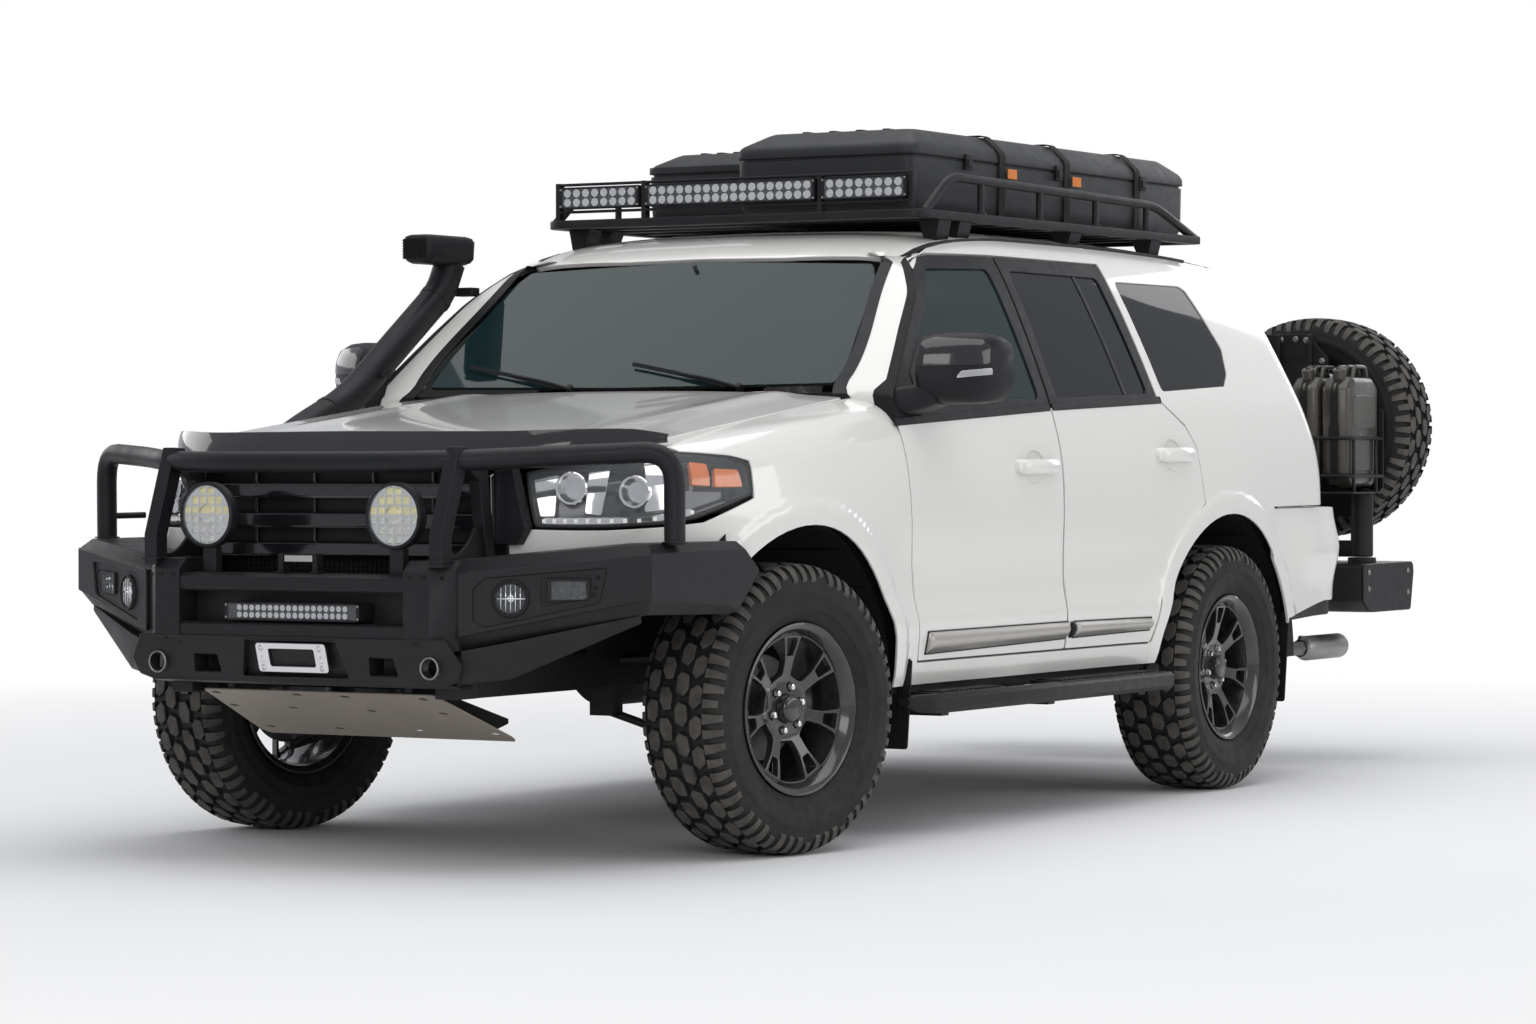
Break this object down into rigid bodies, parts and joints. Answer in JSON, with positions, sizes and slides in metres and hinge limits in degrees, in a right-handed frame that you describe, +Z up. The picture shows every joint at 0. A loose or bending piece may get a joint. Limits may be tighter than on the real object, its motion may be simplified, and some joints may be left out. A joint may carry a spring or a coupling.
{
  "type": "lifted off-road 4x4",
  "caption": "Lifted off-road estate with bull bar, snorkel, roof rack and cases, side steps, knobbly tyres and a swing-out carrier for the spare wheel and fuel cans.",
  "frame": {"origin": "on the ground under the middle of the whole outline", "axes": "front faces -Y, the vehicle's left is +X, +Z is up"},
  "size_m": [2.39, 5.838, 2.172],
  "materials": {
    "white_paint": "satin pearl",
    "tinted_glass": "clear tint",
    "lamp_lens": "clear",
    "red_lens": "translucent red",
    "black_steel": "textured matt black",
    "black_plastic": "grained",
    "gloss_black": "gloss",
    "bare_aluminium": "brushed",
    "wheel_black": "gloss black",
    "tyre_rubber": "worn rubber",
    "cast_metal": "cast",
    "steel": "dull",
    "seat_leather": "dark"
  },
  "bodies": {
    "vehicle": {"body_shell": "white_paint", "fixed_glass": "tinted_glass", "front_wings": "white_paint", "headlamps": "lamp_lens", "grille": "black_plastic", "chassis_frame": "black_steel", "engine": "cast_metal", "skid_plate": "bare_aluminium", "bull_bar": "black_steel", "arch_liners": "black_plastic", "driving_lamps": "lamp_lens", "light_bar": "lamp_lens", "pod_lamps": "lamp_lens", "snorkel": "black_plastic", "roof_rack": "black_steel", "rack_lamps": "lamp_lens", "roof_cases": "black_plastic", "side_steps": "black_steel", "exhaust": "steel", "rear_bumper": "white_paint", "mud_flaps": "black_plastic", "rear_bar": "black_steel", "rear_axle": "black_steel", "tail_lamps": "red_lens", "dashboard": "black_plastic", "seats": "seat_leather"},
    "bonnet": {"bonnet": "white_paint"},
    "hatch": {"tailgate_upper": "white_paint", "tailgate_glass": "tinted_glass"},
    "gate": {"tailgate_lower": "white_paint"},
    "carrier": {"wheel_carrier": "black_steel", "spare_tyre": "tyre_rubber", "spare_rim": "wheel_black", "fuel_cans": "gloss_black"},
    "front_door_left": {"door_front_left": "white_paint", "glass_front_left": "tinted_glass", "mirror_left": "gloss_black"},
    "rear_door_left": {"door_rear_left": "white_paint", "glass_rear_left": "tinted_glass"},
    "steer_left": {"knuckle_left": "cast_metal"},
    "front_wheel_left": {"tyre_front_left": "tyre_rubber", "rim_front_left": "wheel_black"},
    "rear_wheel_left": {"tyre_rear_left": "tyre_rubber", "rim_rear_left": "wheel_black"},
    "front_door_right": {"door_front_right": "white_paint", "glass_front_right": "tinted_glass", "mirror_right": "gloss_black"},
    "rear_door_right": {"door_rear_right": "white_paint", "glass_rear_right": "tinted_glass"},
    "steer_right": {"knuckle_right": "cast_metal"},
    "front_wheel_right": {"tyre_front_right": "tyre_rubber", "rim_front_right": "wheel_black"},
    "rear_wheel_right": {"tyre_rear_right": "tyre_rubber", "rim_rear_right": "wheel_black"}
  },
  "joints": [
    {"name": "steering_left", "type": "hinge", "parent": "vehicle", "child": "steer_left", "pos_m": [0.802, -1.816, 0.412], "axis": [0, 0, 1], "range_deg": [-23, 43]},
    {"name": "front_spin_left", "type": "hinge", "parent": "steer_left", "child": "front_wheel_left", "pos_m": [0.87094, -1.82815, 0.412], "axis": [0.9848, -0.1736, 0], "continuous": true},
    {"name": "rear_spin_left", "type": "hinge", "parent": "vehicle", "child": "rear_wheel_left", "pos_m": [0.872, 1.034, 0.412], "axis": [1, 0, 0], "continuous": true},
    {"name": "front_door_hinge_left", "type": "hinge", "parent": "vehicle", "child": "front_door_left", "pos_m": [0.99, -1.253, 0.9], "axis": [0, 0, -1], "range_deg": [0, 65]},
    {"name": "rear_door_hinge_left", "type": "hinge", "parent": "vehicle", "child": "rear_door_left", "pos_m": [0.99, -0.238, 0.9], "axis": [0, 0, -1], "range_deg": [0, 65]},
    {"name": "steering_right", "type": "hinge", "parent": "vehicle", "child": "steer_right", "pos_m": [-0.802, -1.816, 0.412], "axis": [0, 0, 1], "range_deg": [-23, 43]},
    {"name": "front_spin_right", "type": "hinge", "parent": "steer_right", "child": "front_wheel_right", "pos_m": [-0.87094, -1.80384, 0.412], "axis": [0.9848, -0.1736, 0], "continuous": true},
    {"name": "rear_spin_right", "type": "hinge", "parent": "vehicle", "child": "rear_wheel_right", "pos_m": [-0.872, 1.034, 0.412], "axis": [1, 0, 0], "continuous": true},
    {"name": "front_door_hinge_right", "type": "hinge", "parent": "vehicle", "child": "front_door_right", "pos_m": [-0.99, -1.253, 0.9], "axis": [0, 0, 1], "range_deg": [0, 65]},
    {"name": "rear_door_hinge_right", "type": "hinge", "parent": "vehicle", "child": "rear_door_right", "pos_m": [-0.99, -0.238, 0.9], "axis": [0, 0, 1], "range_deg": [0, 65]},
    {"name": "bonnet_hinge", "type": "hinge", "parent": "vehicle", "child": "bonnet", "pos_m": [0, -1.256, 1.323], "axis": [-1, 0, 0], "range_deg": [0, 50]},
    {"name": "hatch_hinge", "type": "hinge", "parent": "vehicle", "child": "hatch", "pos_m": [0, 1.569, 1.806], "axis": [1, 0, 0], "range_deg": [0, 75]},
    {"name": "gate_hinge", "type": "hinge", "parent": "vehicle", "child": "gate", "pos_m": [0, 1.948, 0.796], "axis": [-1, 0, 0], "range_deg": [0, 90]},
    {"name": "carrier_pivot", "type": "hinge", "parent": "vehicle", "child": "carrier", "pos_m": [0.85, 2.514, 0.753], "axis": [0, 0, -1], "range_deg": [0, 105]}
  ],
  "couplings": [
    {"joint": "steering_right", "follows": "steering_left", "ratio": 1}
  ]
}
